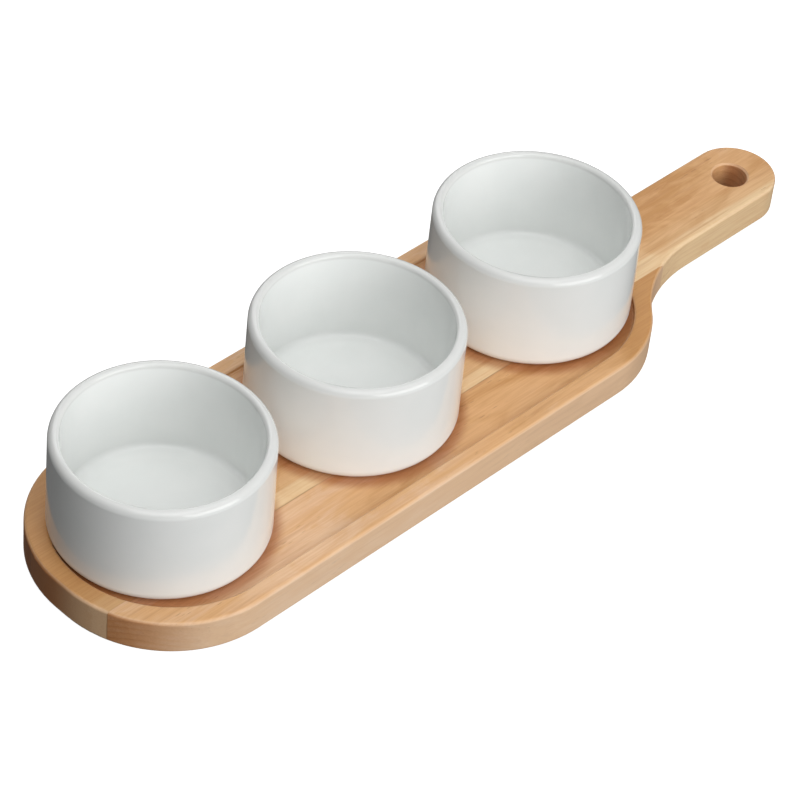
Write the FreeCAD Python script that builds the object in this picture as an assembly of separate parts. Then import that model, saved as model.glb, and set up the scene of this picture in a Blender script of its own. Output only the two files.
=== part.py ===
import FreeCAD, Part
import math
import os

# A three-ramekin chip and dip server: a paddle board glued up from three hardwood staves, with a shallow
# recess milled into its top, and three straight-sided glazed porcelain ramekins that stand loose in it.
# Millimetres, +Z up. The origin is under the middle of the whole board, on its flat underside; +X runs
# along the board to the handle's end, and -Y is the front.

# ---- driving dimensions -------------------------------------------------------------------------------
BOARD_LENGTH = 420.0          # blunt end to handle end
BOARD_WIDTH = 112.5
BOARD_THICKNESS = 16.0
END_RADIUS = 53.0             # the two corners of the blunt end, which nearly meet in a half-round
SHOULDER_START = 262.4        # from the blunt end to where the sides start to turn in
SHOULDER_RADIUS = 51.5
NECK_RADIUS = 66.0            # the hollow curve from shoulder to handle
HANDLE_WIDTH = 38.0
EDGE_RADIUS = 1.5             # all round the outline, top and bottom

HOLE_DIAMETER = 16.0          # hanging hole
HOLE_FROM_END = 22.1
HOLE_RIM_CHAMFER = 0.8

RECESS_DEPTH = 2.0
RECESS_BORDER = 8.2           # rim left standing beside and at the blunt end of the recess
RECESS_LENGTH = 300.6         # over its half-round ends
RECESS_COVE = 0.8             # left by the round-nosed cutter along the foot of the recess wall
RECESS_LIP = 1.0

GLUE_LINE_OFFSET = 22.5       # each glue line, from the middle of the board

RAMEKIN_DIAMETER = 90.0       # at the top of the heel, where it is widest
RAMEKIN_HEIGHT = 47.5
RAMEKIN_HEEL_RADIUS = 4.8     # outside bottom corner
OUTER_WALL_LEAN = 0.5         # degrees, inwards going up
INNER_WALL_LEAN = 0.8         # degrees, outwards going up
LIP_OUTER_RADIUS = 3.0        # the lip is rounded over more on its outer side
LIP_INNER_RADIUS = 1.5
RAMEKIN_FLOOR = 4.2           # thickness at the edge of the inside floor
RAMEKIN_FLOOR_DISH = 0.7      # the middle of the inside floor lies this much lower
RAMEKIN_DISH_RADIUS = 31.0    # of the flat middle of the inside floor
RAMEKIN_CORNER_RADIUS = 2.5   # inside bottom corner
FOOT_RING_INNER = 34.0
FOOT_RING_DEPTH = 1.0         # the unglazed foot ring stands this far below the glazed middle
FOOT_RING_EDGE = 0.6

# Where the loose ramekins stand: distance from the blunt end, and from the board's middle line.
RAMEKIN_PLACES = {
    "ramekin_by_blunt_end": (53.0, 2.6),
    "ramekin_middle": (158.4, 2.4),
    "ramekin_by_handle": (264.5, 1.9),
}

# ---- places worked out from them ----------------------------------------------------------------------
X_END = -BOARD_LENGTH / 2
X_HANDLE_END = BOARD_LENGTH / 2
HALF_WIDTH = BOARD_WIDTH / 2
HALF_HANDLE = HANDLE_WIDTH / 2
X_HOLE = X_HANDLE_END - HOLE_FROM_END
RECESS_FLOOR_Z = BOARD_THICKNESS - RECESS_DEPTH
OVERCUT = 1.0                 # how far cutting tools stand past the surfaces they cut
TOLERANCE = 1e-6              # for telling edges apart by where they are

UP = FreeCAD.Vector(0, 0, 1)


def point(x, y, z=0.0):
    return FreeCAD.Vector(x, y, z)


def arc_edge(centre, radius, start_deg, end_deg):
    """Arc about +Z from one angle to another, either way round."""
    angles = (start_deg, (start_deg + end_deg) / 2, end_deg)
    ends = [
        centre + point(math.cos(math.radians(a)), math.sin(math.radians(a))) * radius
        for a in angles
    ]
    return Part.Arc(*ends).toShape()


def line_edge(start, end):
    return Part.LineSegment(start, end).toShape()


def mirrored(edge):
    """The same edge on the other side of the board's middle line."""
    return edge.mirror(point(0, 0), point(0, 1))


def front_outline_edges():
    """The board's outline on the -Y side, from the blunt end to the handle's end."""
    end_centre = point(X_END + END_RADIUS, -(HALF_WIDTH - END_RADIUS))
    shoulder_centre = point(X_END + SHOULDER_START, -(HALF_WIDTH - SHOULDER_RADIUS))
    neck_y = -(HALF_HANDLE + NECK_RADIUS)
    # the two curves meet where their centres' line crosses them, so they run smoothly into each other
    drop = shoulder_centre.y - neck_y
    run = math.sqrt((SHOULDER_RADIUS + NECK_RADIUS) ** 2 - drop ** 2)
    neck_centre = point(shoulder_centre.x + run, neck_y)
    turn = math.degrees(math.atan2(drop, run))
    handle_centre = point(X_HANDLE_END - HALF_HANDLE, 0)
    return [
        line_edge(point(X_END, 0), point(X_END, end_centre.y)),
        arc_edge(end_centre, END_RADIUS, 180, 270),
        line_edge(point(end_centre.x, -HALF_WIDTH), point(shoulder_centre.x, -HALF_WIDTH)),
        arc_edge(shoulder_centre, SHOULDER_RADIUS, 270, 360 - turn),
        arc_edge(neck_centre, NECK_RADIUS, 180 - turn, 90),
        line_edge(point(neck_centre.x, -HALF_HANDLE), point(handle_centre.x, -HALF_HANDLE)),
        arc_edge(handle_centre, HALF_HANDLE, 270, 360),
    ]


def board_outline():
    front = front_outline_edges()
    back = [mirrored(edge) for edge in front]
    return Part.Wire(Part.__sortEdges__(front + back))


def round_ended_slot(x_low, x_high, radius):
    """Closed wire about the board's middle line, as wide as its half-round ends."""
    x_first = x_low + radius
    x_second = x_high - radius
    edges = [
        line_edge(point(x_first, -radius), point(x_second, -radius)),
        arc_edge(point(x_second, 0), radius, -90, 0),
        arc_edge(point(x_second, 0), radius, 0, 90),
        line_edge(point(x_second, radius), point(x_first, radius)),
        arc_edge(point(x_first, 0), radius, 90, 180),
        arc_edge(point(x_first, 0), radius, 180, 270),
    ]
    return Part.Wire(edges)


def prism(wire, height):
    return Part.Face(wire).extrude(UP * height)


def edges_at_height(solid, z):
    """The edges that lie flat at one height."""
    boxes = [(edge, edge.BoundBox) for edge in solid.Edges]
    return [edge for edge, box in boxes if abs(box.ZMin - z) < TOLERANCE and abs(box.ZMax - z) < TOLERANCE]


def recess_cutter():
    """The milled recess: a coved foot, an upright wall, and a small round where it meets the top."""
    x_low = X_END + RECESS_BORDER
    x_high = x_low + RECESS_LENGTH
    outline = round_ended_slot(x_low, x_high, HALF_WIDTH - RECESS_BORDER)
    pocket = prism(outline, RECESS_DEPTH + OVERCUT)
    pocket = pocket.makeFillet(RECESS_COVE, edges_at_height(pocket, 0))
    pocket.translate(point(0, 0, RECESS_FLOOR_Z))
    return pocket


def hole_cutter():
    """The hanging hole with both rims broken by a small chamfer."""
    radius = HOLE_DIAMETER / 2
    rim_radius = radius + HOLE_RIM_CHAMFER
    cutter = Part.makeCylinder(radius, BOARD_THICKNESS + 2 * OVERCUT, point(X_HOLE, 0, -OVERCUT))
    # 45 degree cones, carried on inside the bore so that they overlap the cylinder
    reach = HOLE_RIM_CHAMFER + OVERCUT
    top_start = point(X_HOLE, 0, BOARD_THICKNESS - reach)
    top = Part.makeCone(rim_radius - reach, rim_radius, reach, top_start)
    bottom = Part.makeCone(rim_radius, rim_radius - reach, reach, point(X_HOLE, 0, 0))
    return cutter.fuse([top, bottom])


def glued_board():
    """The whole board as it leaves the router, before it is told apart into its staves."""
    blank = prism(board_outline(), BOARD_THICKNESS)
    outline_edges = edges_at_height(blank, 0) + edges_at_height(blank, BOARD_THICKNESS)
    blank = blank.makeFillet(EDGE_RADIUS, outline_edges)
    board = blank.cut(recess_cutter())
    lip = [edge for edge in edges_at_height(board, BOARD_THICKNESS) if in_recess_lip(edge)]
    board = board.makeFillet(RECESS_LIP, lip)
    return board.cut(hole_cutter())


def in_recess_lip(edge):
    """Tells the recess's own edges on the top face from the outline's."""
    box = edge.BoundBox
    x_low = X_END + RECESS_BORDER - TOLERANCE
    x_high = X_END + RECESS_BORDER + RECESS_LENGTH + TOLERANCE
    half_width = HALF_WIDTH - RECESS_BORDER + TOLERANCE
    inside_x = box.XMin >= x_low and box.XMax <= x_high
    return inside_x and box.YMin >= -half_width and box.YMax <= half_width


def stave(board, y_low, y_high):
    """The stretch of the board between two glue lines."""
    length = BOARD_LENGTH + 2 * OVERCUT
    height = BOARD_THICKNESS + 2 * OVERCUT
    slab = Part.makeBox(length, y_high - y_low, height, point(X_END - OVERCUT, y_low, -OVERCUT))
    return board.common(slab)


def section_point(r, z):
    return point(r, 0, z)


def section_arc(r, z, radius, start_deg, end_deg):
    """Arc in the XZ plane about (r, z); angles run from +X towards +Z."""
    angles = (start_deg, (start_deg + end_deg) / 2, end_deg)
    ends = [
        section_point(r + radius * math.cos(math.radians(a)), z + radius * math.sin(math.radians(a)))
        for a in angles
    ]
    return Part.Arc(*ends).toShape()


def section_curve(start, start_pull, end_pull, end):
    """Smooth curve that leaves and arrives level."""
    curve = Part.BezierCurve()
    curve.setPoles([start, start_pull, end_pull, end])
    return curve.toShape()


def lip_centre_radius():
    """Where the lip is highest: its outer round must leave the leaning outer wall smoothly."""
    lean = math.radians(OUTER_WALL_LEAN)
    rise = RAMEKIN_HEIGHT - LIP_OUTER_RADIUS - RAMEKIN_HEEL_RADIUS
    heel_r = RAMEKIN_DIAMETER / 2 - RAMEKIN_HEEL_RADIUS
    return heel_r + (RAMEKIN_HEEL_RADIUS - LIP_OUTER_RADIUS - rise * math.sin(lean)) / math.cos(lean)


def corner_centre_radius():
    """The inside corner's centre: its arc must run smoothly into the leaning inner wall."""
    lean = math.radians(INNER_WALL_LEAN)
    rise = RAMEKIN_HEIGHT - LIP_INNER_RADIUS - RAMEKIN_FLOOR - RAMEKIN_CORNER_RADIUS
    across = LIP_INNER_RADIUS + RAMEKIN_CORNER_RADIUS + rise * math.sin(lean)
    return lip_centre_radius() - across / math.cos(lean)


def arc_end(edge):
    return edge.Vertexes[-1].Point


def arc_start(edge):
    return edge.Vertexes[0].Point


def ramekin_section():
    """Half of the section through a ramekin, foot on z = 0, in the XZ plane."""
    at = section_point
    heel_r = RAMEKIN_DIAMETER / 2 - RAMEKIN_HEEL_RADIUS
    lip_r = lip_centre_radius()
    corner_r = corner_centre_radius()
    corner_z = RAMEKIN_FLOOR + RAMEKIN_CORNER_RADIUS
    lip_outer_z = RAMEKIN_HEIGHT - LIP_OUTER_RADIUS
    lip_inner_z = RAMEKIN_HEIGHT - LIP_INNER_RADIUS
    dish_z = RAMEKIN_FLOOR - RAMEKIN_FLOOR_DISH
    half_slope = (corner_r - RAMEKIN_DISH_RADIUS) / 2
    ring_r = FOOT_RING_INNER
    ring_edge_r = ring_r - FOOT_RING_EDGE
    ring_edge_z = FOOT_RING_DEPTH - FOOT_RING_EDGE
    heel = section_arc(heel_r, RAMEKIN_HEEL_RADIUS, RAMEKIN_HEEL_RADIUS, -90, OUTER_WALL_LEAN)
    lip_outer = section_arc(lip_r, lip_outer_z, LIP_OUTER_RADIUS, OUTER_WALL_LEAN, 90)
    lip_inner = section_arc(lip_r, lip_inner_z, LIP_INNER_RADIUS, 90, 180 - INNER_WALL_LEAN)
    corner = section_arc(corner_r, corner_z, RAMEKIN_CORNER_RADIUS, -INNER_WALL_LEAN, -90)
    floor_slope = section_curve(
        at(corner_r, RAMEKIN_FLOOR),
        at(corner_r - half_slope, RAMEKIN_FLOOR),
        at(RAMEKIN_DISH_RADIUS + half_slope, dish_z),
        at(RAMEKIN_DISH_RADIUS, dish_z),
    )
    edges = [
        line_edge(at(0, FOOT_RING_DEPTH), at(ring_edge_r, FOOT_RING_DEPTH)),
        section_arc(ring_edge_r, ring_edge_z, FOOT_RING_EDGE, 90, 0),
        line_edge(at(ring_r, ring_edge_z), at(ring_r, 0)),
        line_edge(at(ring_r, 0), at(heel_r, 0)),
        heel,
        line_edge(arc_end(heel), arc_start(lip_outer)),
        lip_outer,
        lip_inner,
        line_edge(arc_end(lip_inner), arc_start(corner)),
        corner,
        floor_slope,
        line_edge(at(RAMEKIN_DISH_RADIUS, dish_z), at(0, dish_z)),
        line_edge(at(0, dish_z), at(0, FOOT_RING_DEPTH)),
    ]
    return Part.Face(Part.Wire(edges))


def ramekin(from_end, from_middle):
    """One ramekin standing on the recess floor."""
    body = ramekin_section().revolve(point(0, 0), UP, 360)
    body.translate(point(X_END + from_end, from_middle, RECESS_FLOOR_Z))
    return body


def export(name, shape):
    solids = shape.Solids
    if len(solids) != 1 or not solids[0].isValid():
        raise ValueError(name + " is not one valid solid")
    solids[0].exportStep("parts/" + name + ".step")
    print(name, round(solids[0].Volume / 1000, 2), "cm3")


def main():
    os.makedirs("parts", exist_ok=True)
    board = glued_board()
    staves = (
        ("board_stave_front", -HALF_WIDTH - OVERCUT, -GLUE_LINE_OFFSET),
        ("board_stave_middle", -GLUE_LINE_OFFSET, GLUE_LINE_OFFSET),
        ("board_stave_back", GLUE_LINE_OFFSET, HALF_WIDTH + OVERCUT),
    )
    for name, y_low, y_high in staves:
        export(name, stave(board, y_low, y_high))
    for name, place in RAMEKIN_PLACES.items():
        export(name, ramekin(*place))


main()
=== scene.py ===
"""Looks for the chip and dip server: oiled wood, glazed porcelain and a pale studio."""
import math

import bpy
from mathutils import Matrix, Vector

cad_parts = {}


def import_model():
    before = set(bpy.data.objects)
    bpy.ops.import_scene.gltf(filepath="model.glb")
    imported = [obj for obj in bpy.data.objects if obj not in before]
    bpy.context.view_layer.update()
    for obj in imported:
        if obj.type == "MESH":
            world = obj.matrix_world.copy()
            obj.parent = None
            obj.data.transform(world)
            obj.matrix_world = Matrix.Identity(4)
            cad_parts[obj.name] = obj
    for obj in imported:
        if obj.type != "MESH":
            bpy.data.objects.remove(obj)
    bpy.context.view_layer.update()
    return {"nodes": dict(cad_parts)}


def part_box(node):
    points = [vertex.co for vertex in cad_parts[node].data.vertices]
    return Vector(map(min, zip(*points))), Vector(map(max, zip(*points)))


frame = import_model()

MM = 0.001
RAMEKINS = ("ramekin_by_blunt_end", "ramekin_middle", "ramekin_by_handle")


def mm(*values):
    return tuple(value * MM for value in values)


# ---- places read from the frame -----------------------------------------------------------------------
STAVE_LOW, STAVE_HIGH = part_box("board_stave_middle")
GLUE_FRONT = STAVE_LOW.y
GLUE_BACK = STAVE_HIGH.y
BOARD_TOP = STAVE_HIGH.z
RAMEKIN_LOW, RAMEKIN_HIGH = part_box("ramekin_middle")
RAMEKIN_RADIUS = (RAMEKIN_HIGH.x - RAMEKIN_LOW.x) / 2
ROW_CENTRE = (RAMEKIN_LOW.x + RAMEKIN_HIGH.x) / 2
RAMEKIN_CENTRES = [(sum(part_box(name), Vector()) / 2) for name in RAMEKINS]


# ---- node helpers -------------------------------------------------------------------------------------
class Nodes:
    """Short calls for building one material's node tree."""

    def __init__(self, name):
        self.material = bpy.data.materials.new(name)
        self.material.use_nodes = True
        self.tree = self.material.node_tree
        self.tree.nodes.clear()
        self.output = self.add("ShaderNodeOutputMaterial")
        self.shader = self.add("ShaderNodeBsdfPrincipled")
        self.link(self.shader.outputs["BSDF"], self.output.inputs["Surface"])

    def add(self, kind, **settings):
        node = self.tree.nodes.new(kind)
        for key, value in settings.items():
            setattr(node, key, value)
        return node

    def link(self, source, target):
        self.tree.links.new(source, target)

    def put(self, value, socket):
        """Links an output, or sets a plain value."""
        if isinstance(value, bpy.types.NodeSocket):
            self.link(value, socket)
        else:
            socket.default_value = value

    def math(self, operation, a, b=0.0):
        node = self.add("ShaderNodeMath", operation=operation)
        self.put(a, node.inputs[0])
        self.put(b, node.inputs[1])
        return node.outputs[0]

    def sum(self, *terms):
        """Adds (value, weight) pairs."""
        total = None
        for value, weight in terms:
            part = self.math("MULTIPLY", value, weight)
            total = part if total is None else self.math("ADD", total, part)
        return total

    def product(self, first, *others):
        total = first
        for value in others:
            total = self.math("MULTIPLY", total, value)
        return total

    def length(self, a, b):
        squares = self.math("ADD", self.math("MULTIPLY", a, a), self.math("MULTIPLY", b, b))
        return self.math("SQRT", squares)

    def mapped(self, source, scale=(1, 1, 1), location=(0, 0, 0)):
        node = self.add("ShaderNodeMapping")
        self.link(source, node.inputs["Vector"])
        node.inputs["Scale"].default_value = scale
        node.inputs["Location"].default_value = location
        return node.outputs["Vector"]

    def noise(self, source, scale=1.0, detail=2.0, roughness=0.5, distortion=0.0):
        node = self.add("ShaderNodeTexNoise")
        self.link(source, node.inputs["Vector"])
        node.inputs["Scale"].default_value = scale
        node.inputs["Detail"].default_value = detail
        node.inputs["Roughness"].default_value = roughness
        node.inputs["Distortion"].default_value = distortion
        return node.outputs["Fac"]

    def grain(self, source, along, across, **settings):
        """Noise drawn out along the board; along and across are cycles per metre."""
        return self.noise(self.mapped(source, scale=(along, across, across)), **settings)

    def cells(self, source):
        """Distance to the nearest of scattered points."""
        node = self.add("ShaderNodeTexVoronoi")
        self.link(source, node.inputs["Vector"])
        node.inputs["Scale"].default_value = 1.0
        return node.outputs["Distance"]

    def band(self, value, low, high, to_low=0.0, to_high=1.0):
        """Smoothly maps low..high to to_low..to_high, flat outside."""
        node = self.add("ShaderNodeMapRange", interpolation_type="SMOOTHSTEP")
        self.put(value, node.inputs["Value"])
        node.inputs["From Min"].default_value = low
        node.inputs["From Max"].default_value = high
        node.inputs["To Min"].default_value = to_low
        node.inputs["To Max"].default_value = to_high
        return node.outputs["Result"]

    def mix(self, factor, a, b, blend="MIX"):
        node = self.add("ShaderNodeMix", data_type="RGBA", blend_type=blend)
        self.put(factor, node.inputs["Factor"])
        self.put(a, node.inputs[6])
        self.put(b, node.inputs[7])
        return node.outputs[2]

    def bump(self, height, strength, distance):
        node = self.add("ShaderNodeBump")
        self.link(height, node.inputs["Height"])
        node.inputs["Strength"].default_value = strength
        node.inputs["Distance"].default_value = distance
        return node.outputs["Normal"]

    def split(self, vector):
        node = self.add("ShaderNodeSeparateXYZ")
        self.link(vector, node.inputs[0])
        return node.outputs[0], node.outputs[1], node.outputs[2]


def rgb(r, g, b):
    return (r, g, b, 1.0)


# ---- wood ---------------------------------------------------------------------------------------------
# A stave's tone runs from 0 to 1 over these three.
BISCUIT = rgb(0.80, 0.535, 0.335)
HONEY = rgb(0.735, 0.43, 0.205)
AMBER = rgb(0.585, 0.305, 0.115)

SAPWOOD = rgb(0.84, 0.61, 0.355)
# Pale wood, mixed in on the end grain, and partly painted light on upright faces and rounded edges.
PALE_WOOD_AND_PAINTED_LIGHT = rgb(0.86, 0.66, 0.48)
RED_STREAK = rgb(0.50, 0.24, 0.105)
VESSEL = rgb(0.33, 0.165, 0.075)
GLUE = rgb(0.33, 0.18, 0.085)
CONTACT_SHADE = rgb(0.52, 0.30, 0.21)

RING_SPACING = 3.4 * MM
RING_WANDER = 14 * MM
GLUE_LINE_CORE = 0.1 * MM
GLUE_LINE_EDGE = 0.42 * MM
GLUE_LINE_STOP = mm(95, 100)     # where the recess ends, towards the handle
# The end grain darkens across this span: partly its own tone, partly painted shade towards the back.
END_DARK_AND_SHADE_SPAN = mm(-12, 8)            # across the end face, from its front part to its back part
SAPWOOD_START = mm(-195, -160)   # the pale stripe fades in along the board between these
CONTACT_STRENGTH = 0.75
MOTTLE_WEIGHT = 0.34
STREAK_WEIGHT = 0.12
WANDER_WEIGHT = 0.18
LATE_WOOD_WEIGHT = 0.12
END_RINGS_WEIGHT = 0.3
FIBRE_STRENGTH = 0.16
RED_STRENGTH = 0.3
VESSEL_STRENGTH = 0.5
# Paler rounded edges: partly wear, partly painted highlight.
EDGE_WEAR_AND_HIGHLIGHT = 0.25
WOOD_SPECULAR = 0.32
WOOD_RELIEF = 0.12 * MM


class Grain:
    """The textures of one stave. They fill the solid, so ends and edges show the same grain as the top."""

    def __init__(self, n, seed, pith):
        coordinates = n.add("ShaderNodeTexCoord")
        self.at = coordinates.outputs["Object"]
        self.own = n.mapped(self.at, location=(seed, seed * 0.7, seed * 0.3))
        self.x, self.y, _ = n.split(self.at)
        self.facing_x, self.facing_y, self.facing_z = n.split(coordinates.outputs["Normal"])
        self.mottle = n.grain(self.own, 30, 85, detail=4, roughness=0.6, distortion=1.2)
        self.streak = n.grain(self.own, 9, 260, detail=3, roughness=0.6, distortion=0.15)
        self.red = n.grain(self.own, 22, 420, detail=3, roughness=0.55)
        self.fibre = n.grain(self.own, 45, 1300)
        self.wander = n.grain(self.own, 6, 22)
        self.late_wood = rings(n, self.at, pith, self.wander)
        self.vessels = pores(n, self.own, density=0.30)
        self.on_end = n.band(n.math("ABSOLUTE", self.facing_x), 0.35, 0.95)


def rings(n, at, pith, wander):
    """Growth rings about a pith below the board: 0 in the early wood, 1 in the late wood."""
    _, y, z = n.split(at)
    across = n.math("SUBTRACT", y, pith[0])
    below = n.math("SUBTRACT", z, pith[1])
    radius = n.sum((n.length(across, below), 1.0), (wander, RING_WANDER))
    return n.band(n.math("FRACT", n.math("DIVIDE", radius, RING_SPACING)), 0.45, 0.97)


def pores(n, at, density):
    """Short dark vessel lines, thicker in some places than in others."""
    dashes = n.cells(n.mapped(at, scale=(120, 1100, 1100)))
    crowd = n.grain(at, 18, 150)
    reach = n.band(crowd, 0.46, 0.74, 0.0, density)
    return n.band(n.math("SUBTRACT", reach, dashes), 0.0, 0.14)


def far_from(n, at, centre, stretch=1.0):
    """Level distance from an upright axis; the stretch makes circles into long ovals along the grain."""
    x, y, _ = n.split(at)
    along = n.math("DIVIDE", n.math("SUBTRACT", x, centre[0]), stretch)
    across = n.math("SUBTRACT", y, centre[1])
    return n.length(along, across)


def drifts(n, at, tone, changes):
    """Adds slow changes of tone along the board: each (from, to, amount) is complete at its second place."""
    x, _, _ = n.split(at)
    for start, stop, amount in changes:
        if start < stop:
            change = n.band(x, start, stop, 0, amount)
        else:
            change = n.band(x, stop, start, amount, 0)
        tone = n.math("ADD", tone, change)
    return tone


def wood_tone(n, grain, body_tone, changes, painted_shadows):
    """How dark the wood is before sapwood, edge wear and highlight, and contact shade; painted shadows are
    added here.
    """
    figure = n.sum(
        (n.band(grain.mottle, 0.3, 0.7, -0.5, 0.5), MOTTLE_WEIGHT),
        (n.band(grain.streak, 0.32, 0.68, -0.5, 0.5), STREAK_WEIGHT),
        (n.band(grain.wander, 0.35, 0.65, -0.5, 0.5), WANDER_WEIGHT),
        (grain.late_wood, LATE_WOOD_WEIGHT),
        (n.product(grain.late_wood, grain.on_end), END_RINGS_WEIGHT),
    )
    tone = drifts(n, grain.at, n.math("ADD", figure, body_tone), changes)
    # Painted shadows: each one is a darker oval of wood where a shadow falls.
    for centre, stretch, reach, amount in painted_shadows:
        soft_patch = n.band(far_from(n, grain.at, centre, stretch), 0.2 * reach, reach, amount, 0)
        tone = n.math("ADD", tone, soft_patch)
    return tone


def add_sapwood(n, grain, colour, edges):
    """A pale stripe along the front of a stave: strongest before the first edge, gone after the last."""
    edge = n.sum(
        (grain.y, 1.0),
        (n.math("SUBTRACT", grain.wander, 0.5), 9 * MM),
        (n.math("SUBTRACT", grain.streak, 0.5), 10 * MM),
    )
    pale = n.math("ADD", n.band(edge, edges[0], edges[1], 0.7, 0), n.band(edge, edges[1], edges[2], 0.3, 0))
    pale = n.product(pale, n.band(grain.x, *SAPWOOD_START, 0.3, 1))
    stripe = n.mix(n.band(grain.mottle, 0.45, 0.7, 0, 0.4), SAPWOOD, HONEY)
    return n.mix(pale, colour, stripe)


def add_fine_grain(n, grain, colour):
    """Fine fibre, red-brown streaks and pores."""
    colour = n.mix(n.band(grain.fibre, 0.35, 0.65, 0.0, FIBRE_STRENGTH), colour, AMBER, "MULTIPLY")
    colour = n.mix(n.band(grain.red, 0.56, 0.72, 0.0, RED_STRENGTH), colour, RED_STREAK)
    return n.mix(n.product(grain.vessels, VESSEL_STRENGTH), colour, VESSEL)


def add_pale_lit_sides(n, grain, colour, amount):
    """Makes the upright faces at the front and at the handle's end paler: partly paler wood, partly painted
    light.
    """
    to_front = n.band(grain.facing_y, -0.9, -0.3, 1, 0)
    to_handle_end = n.band(grain.facing_x, 0.15, 0.5)
    not_up = n.band(grain.facing_z, 0.3, 0.7, amount, 0)
    # Partly painted light: the upright faces towards the front and the handle's end are painted paler.
    upright = n.product(n.math("MAXIMUM", to_front, to_handle_end), not_up)
    return n.mix(upright, colour, PALE_WOOD_AND_PAINTED_LIGHT)


def add_edge_wear_and_highlight(n, grain, colour):
    """Makes the rounded edges of the top a little paler: partly wear, partly painted highlight."""
    rounded = n.product(n.band(grain.facing_z, 0.25, 0.6), n.band(grain.facing_z, 0.8, 0.97, 1, 0))
    # Partly painted highlight along the rounded edges.
    return n.mix(n.product(rounded, EDGE_WEAR_AND_HIGHLIGHT), colour, PALE_WOOD_AND_PAINTED_LIGHT)


def add_end_grain(n, grain, colour, pale, dark):
    """Makes the end grain paler, then darker: by one amount at its front part, another at its back. The
    darkening is partly the grain's own, partly painted shade.
    """
    colour = n.mix(n.product(grain.on_end, pale), colour, PALE_WOOD_AND_PAINTED_LIGHT)
    # Partly painted shade: the end grain is darkened more towards the back, away from the light.
    end_dark_and_shade = n.product(grain.on_end, n.band(grain.y, *END_DARK_AND_SHADE_SPAN, *dark))
    return n.mix(end_dark_and_shade, colour, AMBER, "MULTIPLY")


def add_contact_shade(n, grain, colour):
    """Darkens the recess in a ring round each ramekin's foot.

    It stands in for the deep shade where foot and wood meet, which the lights leave too pale. It belongs
    to the board, so it stays there when a ramekin is lifted.
    """
    _, _, z = n.split(grain.at)
    gaps = [far_from(n, grain.at, centre) for centre in RAMEKIN_CENTRES]
    nearest = n.math("MINIMUM", n.math("MINIMUM", gaps[0], gaps[1]), gaps[2])
    ring = n.product(
        n.band(nearest, RAMEKIN_RADIUS - 10 * MM, RAMEKIN_RADIUS - 3 * MM),
        n.band(nearest, RAMEKIN_RADIUS, RAMEKIN_RADIUS + 6 * MM, 1, 0),
        n.band(z, BOARD_TOP - 1.7 * MM, BOARD_TOP - 0.8 * MM, 1, 0),
    )
    return n.mix(n.product(ring, CONTACT_STRENGTH), colour, CONTACT_SHADE, "MULTIPLY")


def glue_lines(n, at, streak):
    """Thin uneven dark lines that show in the recess and hardly at all outside it."""
    x, y, z = n.split(at)
    to_front = n.math("ABSOLUTE", n.math("SUBTRACT", y, GLUE_FRONT))
    to_back = n.math("ABSOLUTE", n.math("SUBTRACT", y, GLUE_BACK))
    gap = n.math("MINIMUM", to_front, to_back)
    gap = n.sum((gap, 1.0), (n.math("SUBTRACT", streak, 0.5), 0.5 * MM))
    line = n.band(gap, GLUE_LINE_CORE, GLUE_LINE_EDGE, 1, 0)
    broken = n.band(n.grain(at, 90, 30, detail=1), 0.38, 0.58, 0.15, 0.6)
    in_recess = n.band(z, BOARD_TOP - 1.2 * MM, BOARD_TOP - 0.6 * MM, 1.0, 0.2)
    return n.product(line, broken, in_recess, n.band(x, *GLUE_LINE_STOP, 1, 0))


def wood(name, seed, pith, tone, end_dark, changes=(), painted_shadows=(), sapwood=None, side=0.0, end_pale=0.0):
    """One stave's oiled hardwood."""
    n = Nodes(name)
    grain = Grain(n, seed, pith)
    darkness = wood_tone(n, grain, tone, changes, painted_shadows)
    colour = n.mix(n.band(darkness, 0.0, 0.5), BISCUIT, HONEY)
    colour = n.mix(n.band(darkness, 0.5, 1.0), colour, AMBER)
    if sapwood is not None:
        colour = add_sapwood(n, grain, colour, sapwood)
    colour = add_fine_grain(n, grain, colour)
    if side > 0:
        colour = add_pale_lit_sides(n, grain, colour, side)
    colour = add_edge_wear_and_highlight(n, grain, colour)
    colour = add_end_grain(n, grain, colour, end_pale, end_dark)
    colour = add_contact_shade(n, grain, colour)
    line = glue_lines(n, grain.at, grain.streak)
    n.link(n.mix(line, colour, GLUE), n.shader.inputs["Base Color"])

    roughness = n.sum((n.band(grain.streak, 0.2, 0.8, 0.44, 0.56), 1.0), (grain.vessels, 0.15))
    n.link(roughness, n.shader.inputs["Roughness"])
    n.shader.inputs["Specular IOR Level"].default_value = WOOD_SPECULAR
    height = n.sum((grain.fibre, 0.5), (grain.streak, 0.3), (grain.vessels, -1.0), (line, -0.8))
    n.link(n.bump(height, 0.35, WOOD_RELIEF), n.shader.inputs["Normal"])
    return n.material


# ---- glaze --------------------------------------------------------------------------------------------
GLAZE_WHITE = rgb(0.845, 0.865, 0.85)
GLAZE_BRIGHT = rgb(0.865, 0.88, 0.865)
# Painted shade: the glaze over the lip is painted darker than the rest.
GLAZE_PAINTED_LIP_SHADE = rgb(0.735, 0.745, 0.73)
BARE_PALE = rgb(0.72, 0.68, 0.60)
BARE_DARK = rgb(0.62, 0.57, 0.49)
GLAZE_IOR = 1.47
GLAZE_RELIEF = 0.4 * MM


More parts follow.
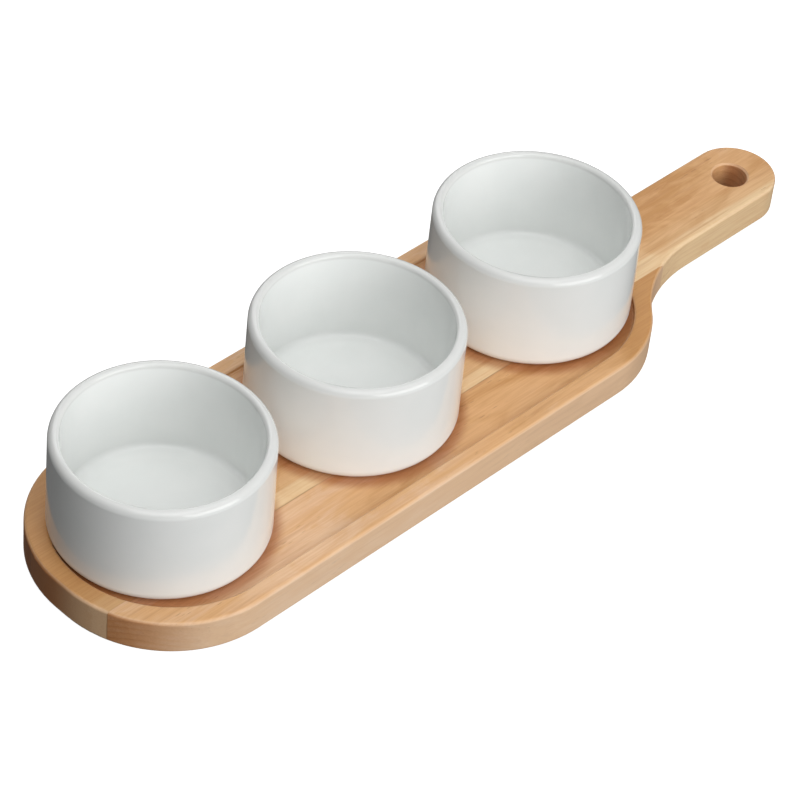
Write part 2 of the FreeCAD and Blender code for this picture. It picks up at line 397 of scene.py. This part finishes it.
def glaze(name):
    """White gloss glaze over porcelain, bare on the foot ring.

    Over the lip it is painted darker, as painted shade, because the lights leave the lips too bright.
    """
    n = Nodes(name)
    at = n.add("ShaderNodeTexCoord").outputs["Object"]
    _, _, z = n.split(at)
    bare = n.band(z, RAMEKIN_LOW.z + 0.3 * MM, RAMEKIN_LOW.z + 0.5 * MM, 1, 0)
    painted_lip_shade = n.band(z, RAMEKIN_HIGH.z - 2.8 * MM, RAMEKIN_HIGH.z - 1.2 * MM)
    soft_patch = n.noise(at, scale=60)
    grit = n.noise(at, scale=1500)
    white = n.mix(n.band(soft_patch, 0.3, 0.7), GLAZE_WHITE, GLAZE_BRIGHT)
    # Painted shade over the lip.
    white = n.mix(painted_lip_shade, white, GLAZE_PAINTED_LIP_SHADE)
    body = n.mix(n.band(grit, 0.4, 0.65), BARE_PALE, BARE_DARK)
    n.link(n.mix(bare, white, body), n.shader.inputs["Base Color"])
    n.link(n.band(bare, 0, 1, 0.10, 0.7), n.shader.inputs["Roughness"])
    n.shader.inputs["IOR"].default_value = GLAZE_IOR
    ripple = n.noise(at, scale=95, detail=1)
    n.link(n.bump(ripple, 0.05, GLAZE_RELIEF), n.shader.inputs["Normal"])
    return n.material


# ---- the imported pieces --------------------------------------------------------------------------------
def dress(node, material):
    slots = frame["nodes"][node].data.materials
    slots.clear()
    slots.append(material)


def front_wood():
    """Pale, with orange wood towards the shoulder and a darker patch of painted shadow before the middle
    ramekin.
    """
    return wood(
        "wood_front", seed=1.7, pith=mm(-40, -55), tone=0.10, side=0.5, end_dark=(0.65, 0.65),
        changes=((*mm(45, 85), 0.65), (*mm(-130, -180), 0.3), (*mm(-80, 0), 0.5)),
        # The darker patch before the middle ramekin is a painted shadow.
        painted_shadows=((mm(-76, -43), 3.0, 11 * MM, 0.5),),
    )


def middle_wood():
    """Darker, with the pale sapwood stripe along its front glue line."""
    return wood(
        "wood_middle", seed=4.1, pith=mm(12, -70), tone=0.62, end_pale=0.3, end_dark=(0.0, 0.8),
        changes=((*mm(90, 130), 0.22), (*mm(160, 195), -0.3), (*mm(-180, -198), 0.5)),
        sapwood=mm(-17, -14, -4),
    )


def back_wood():
    """Of middling tone, and dark at the blunt end."""
    return wood(
        "wood_back", seed=7.3, pith=mm(50, -50), tone=0.30, end_dark=(0.8, 0.8),
        changes=((*mm(-130, -180), 0.75),),
    )


def dress_all():
    dress("board_stave_front", front_wood())
    dress("board_stave_middle", middle_wood())
    dress("board_stave_back", back_wood())
    porcelain = glaze("white_glaze")
    for ramekin in RAMEKINS:
        dress(ramekin, porcelain)


# ---- stage --------------------------------------------------------------------------------------------
FLOOR_HALF = 6.0
FLOOR_GLOW = 0.85
ROOM_GREY = 0.115


def floor():
    """A pale floor with a glow of its own.

    It takes no part in bounces, so it throws no light on the object.
    """
    corners = [
        (-FLOOR_HALF, -FLOOR_HALF, 0), (FLOOR_HALF, -FLOOR_HALF, 0),
        (FLOOR_HALF, FLOOR_HALF, 0), (-FLOOR_HALF, FLOOR_HALF, 0),
    ]
    mesh = bpy.data.meshes.new("floor")
    mesh.from_pydata(corners, [], [(0, 1, 2, 3)])
    plane = bpy.data.objects.new("floor", mesh)
    bpy.context.scene.collection.objects.link(plane)
    n = Nodes("floor_paper")
    n.shader.inputs["Base Color"].default_value = rgb(0.5, 0.5, 0.5)
    n.shader.inputs["Roughness"].default_value = 0.9
    n.shader.inputs["Specular IOR Level"].default_value = 0.0
    n.shader.inputs["Emission Color"].default_value = rgb(1, 1, 1)
    n.shader.inputs["Emission Strength"].default_value = FLOOR_GLOW
    mesh.materials.append(n.material)
    plane.visible_diffuse = False
    plane.visible_glossy = False


def facing(azimuth, elevation):
    """The unit vector from the object to a viewer at that azimuth and elevation, in degrees."""
    a = math.radians(azimuth)
    e = math.radians(elevation)
    return Vector((math.sin(a) * math.cos(e), -math.cos(a) * math.cos(e), math.sin(e)))


def soft_box(name, azimuth, elevation, distance, width, height, power):
    """A rectangular soft light that points at the origin, under the middle of the board."""
    back = facing(azimuth, elevation)
    data = bpy.data.lights.new(name, "AREA")
    data.shape = "RECTANGLE"
    data.size = width
    data.size_y = height
    data.energy = power
    light = bpy.data.objects.new(name, data)
    light.location = back * distance
    light.rotation_mode = "QUATERNION"
    light.rotation_quaternion = back.to_track_quat("Z", "Y")
    light.visible_camera = False
    bpy.context.scene.collection.objects.link(light)


def lights():
    soft_box("key", azimuth=0, elevation=20, distance=2.0, width=1.8, height=1.3, power=30)
    soft_box("behind", azimuth=150, elevation=30, distance=1.8, width=1.3, height=1.3, power=11.5)
    soft_box("overhead", azimuth=0, elevation=88, distance=1.8, width=1.6, height=1.6, power=9.8)
    soft_box("by_camera", azimuth=-45, elevation=60, distance=1.8, width=1.3, height=1.3, power=9)


def world():
    """A white backdrop to the camera and a dim grey room to everything else."""
    studio = bpy.data.worlds.new("studio")
    bpy.context.scene.world = studio
    studio.use_nodes = True
    tree = studio.node_tree
    tree.nodes.clear()
    out = tree.nodes.new("ShaderNodeOutputWorld")
    seen = tree.nodes.new("ShaderNodeBackground")
    seen.inputs["Color"].default_value = rgb(1, 1, 1)
    lit = tree.nodes.new("ShaderNodeBackground")
    lit.inputs["Color"].default_value = rgb(ROOM_GREY, ROOM_GREY, ROOM_GREY)
    path = tree.nodes.new("ShaderNodeLightPath")
    mix = tree.nodes.new("ShaderNodeMixShader")
    tree.links.new(path.outputs["Is Camera Ray"], mix.inputs[0])
    tree.links.new(lit.outputs[0], mix.inputs[1])
    tree.links.new(seen.outputs[0], mix.inputs[2])
    tree.links.new(mix.outputs[0], out.inputs["Surface"])


# ---- camera -------------------------------------------------------------------------------------------
CAMERA_AZIMUTH = -49.347
CAMERA_ELEVATION = 42.345
CAMERA_ROLL = 6.355
CAMERA_DISTANCE = 1365.1 * MM
AIM_PAST_ROW = 30.11 * MM        # along the board, from the middle ramekin towards the handle
AIM_BEHIND_MIDDLE = 1.47 * MM
SENSOR_WIDTH = 36.0
FOCAL_LENGTH = 145.78


def camera():
    """The camera stands off the front corner of the blunt end and is rolled a few degrees."""
    roll = math.radians(CAMERA_ROLL)
    target = Vector((ROW_CENTRE + AIM_PAST_ROW, AIM_BEHIND_MIDDLE, 0))
    back = facing(CAMERA_AZIMUTH, CAMERA_ELEVATION)
    right = (-back).cross(Vector((0, 0, 1))).normalized()
    up = right.cross(-back)
    tilted_right = math.cos(roll) * right + math.sin(roll) * up
    tilted_up = math.cos(roll) * up - math.sin(roll) * right
    data = bpy.data.cameras.new("camera")
    data.sensor_width = SENSOR_WIDTH
    data.lens = FOCAL_LENGTH
    data.clip_start = 0.05
    data.clip_end = 50
    viewer = bpy.data.objects.new("camera", data)
    turn = Matrix((tilted_right, tilted_up, back)).transposed().to_4x4()
    viewer.matrix_world = Matrix.Translation(target + back * CAMERA_DISTANCE) @ turn
    bpy.context.scene.collection.objects.link(viewer)
    bpy.context.scene.camera = viewer


dress_all()
floor()
world()
lights()
camera()
bpy.context.scene.view_settings.view_transform = "Standard"
